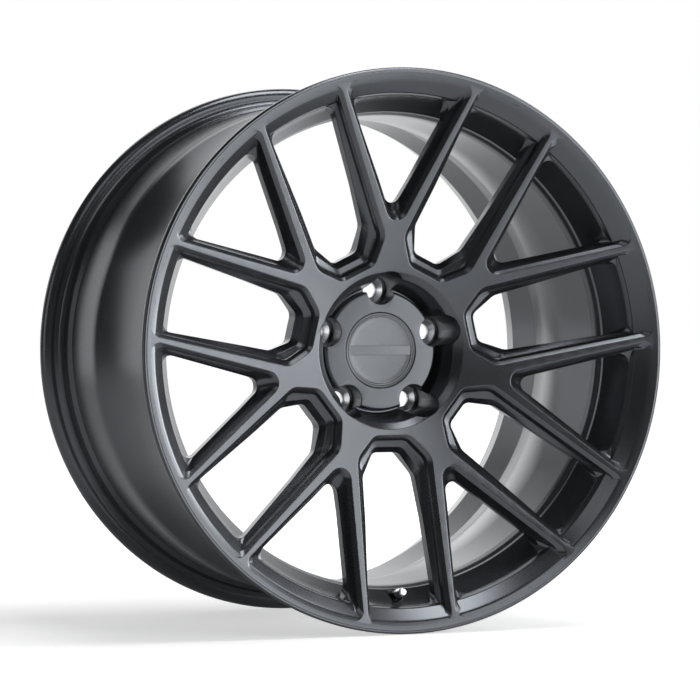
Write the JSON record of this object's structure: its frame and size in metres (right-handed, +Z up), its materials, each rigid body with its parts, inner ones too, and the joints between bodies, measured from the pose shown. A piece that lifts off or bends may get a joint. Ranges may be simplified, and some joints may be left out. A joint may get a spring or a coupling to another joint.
{
  "type": "forged racing wheel rim",
  "caption": "Wide dished alloy wheel with slim Y-shaped spokes running out to the lip, a recessed bolt-on hub with a pull-off centre cap, and a metal clamp-in tyre valve.",
  "frame": {"origin": "on the wheel's axis, midway between the two flanges, at the centre of the bounding box", "axes": "+Y along the wheel's axis towards the car, so the spoked face looks along -Y; +X to the right seen from the face; +Z up, with the valve at the bottom"},
  "size_m": [0.5474, 0.3212, 0.5458],
  "materials": {
    "satin_black": "satin dark gunmetal coating over forged aluminium",
    "steel": "bare machined steel",
    "cap_plastic": "satin moulded plastic",
    "cap_metal": "satin anodised aluminium with a thin bright edge",
    "black_anodised": "black anodised",
    "bright_aluminium": "bright plated",
    "brass": "machined brass",
    "rubber": "matt moulded rubber"
  },
  "bodies": {
    "wheel": {"forged_centre": "satin_black", "inner_barrel": "satin_black", "lug_seat_1": "steel", "lug_seat_2": "steel", "lug_seat_3": "steel", "lug_seat_4": "steel", "lug_seat_5": "steel", "valve_stem": "black_anodised", "valve_grommet": "rubber", "valve_washer": "black_anodised", "valve_nut": "black_anodised", "valve_core_body": "brass", "valve_core_spring": "steel"},
    "centre_cap": {"centre_cap_body": "cap_plastic", "centre_cap_disc": "cap_metal", "centre_cap_spring_ring": "steel"},
    "valve_cap": {"valve_cap": "bright_aluminium", "valve_cap_seal": "rubber"},
    "valve_core_pin": {"valve_core_pin": "brass", "valve_core_seal": "rubber"}
  },
  "joints": [
    {"name": "centre_cap_pull", "type": "slide", "parent": "wheel", "child": "centre_cap", "axis": [0, -1, 0], "range_m": [0, 0.03]},
    {"name": "valve_cap_removal", "type": "slide", "parent": "wheel", "child": "valve_cap", "axis": [0, -0.9748, 0.2233], "range_m": [0, 0.012]},
    {"name": "valve_pin_press", "type": "slide", "parent": "wheel", "child": "valve_core_pin", "axis": [0, 0.9748, -0.2233], "range_m": [0, 0.0012], "stiffness_N_per_m": 1500}
  ]
}
